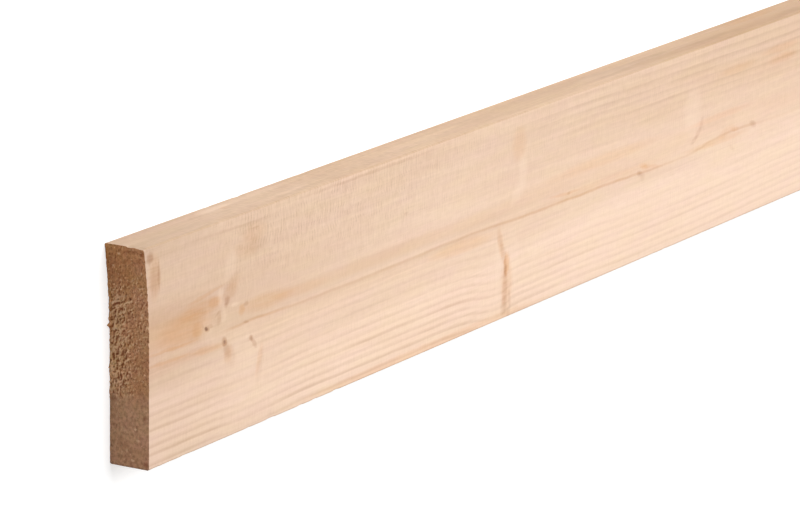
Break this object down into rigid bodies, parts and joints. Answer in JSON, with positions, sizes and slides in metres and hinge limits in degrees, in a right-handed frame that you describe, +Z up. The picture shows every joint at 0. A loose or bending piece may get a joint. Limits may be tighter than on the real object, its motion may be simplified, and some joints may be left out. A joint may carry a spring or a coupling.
{
  "type": "timber plank",
  "caption": "Long flat planed softwood board of rectangular section, with one end sawn by hand to a slight toe and the other sawn square.",
  "frame": {"origin": "middle of the bottom wide face, on the floor that the plank lies on", "axes": "+X along the plank's length, away from the hand-sawn end; +Y across its width; +Z up through its thickness"},
  "size_m": [2.4, 0.098, 0.02],
  "materials": {
    "planed_spruce": "matte"
  },
  "bodies": {
    "root": {"plank": "planed_spruce"}
  },
  "joints": []
}
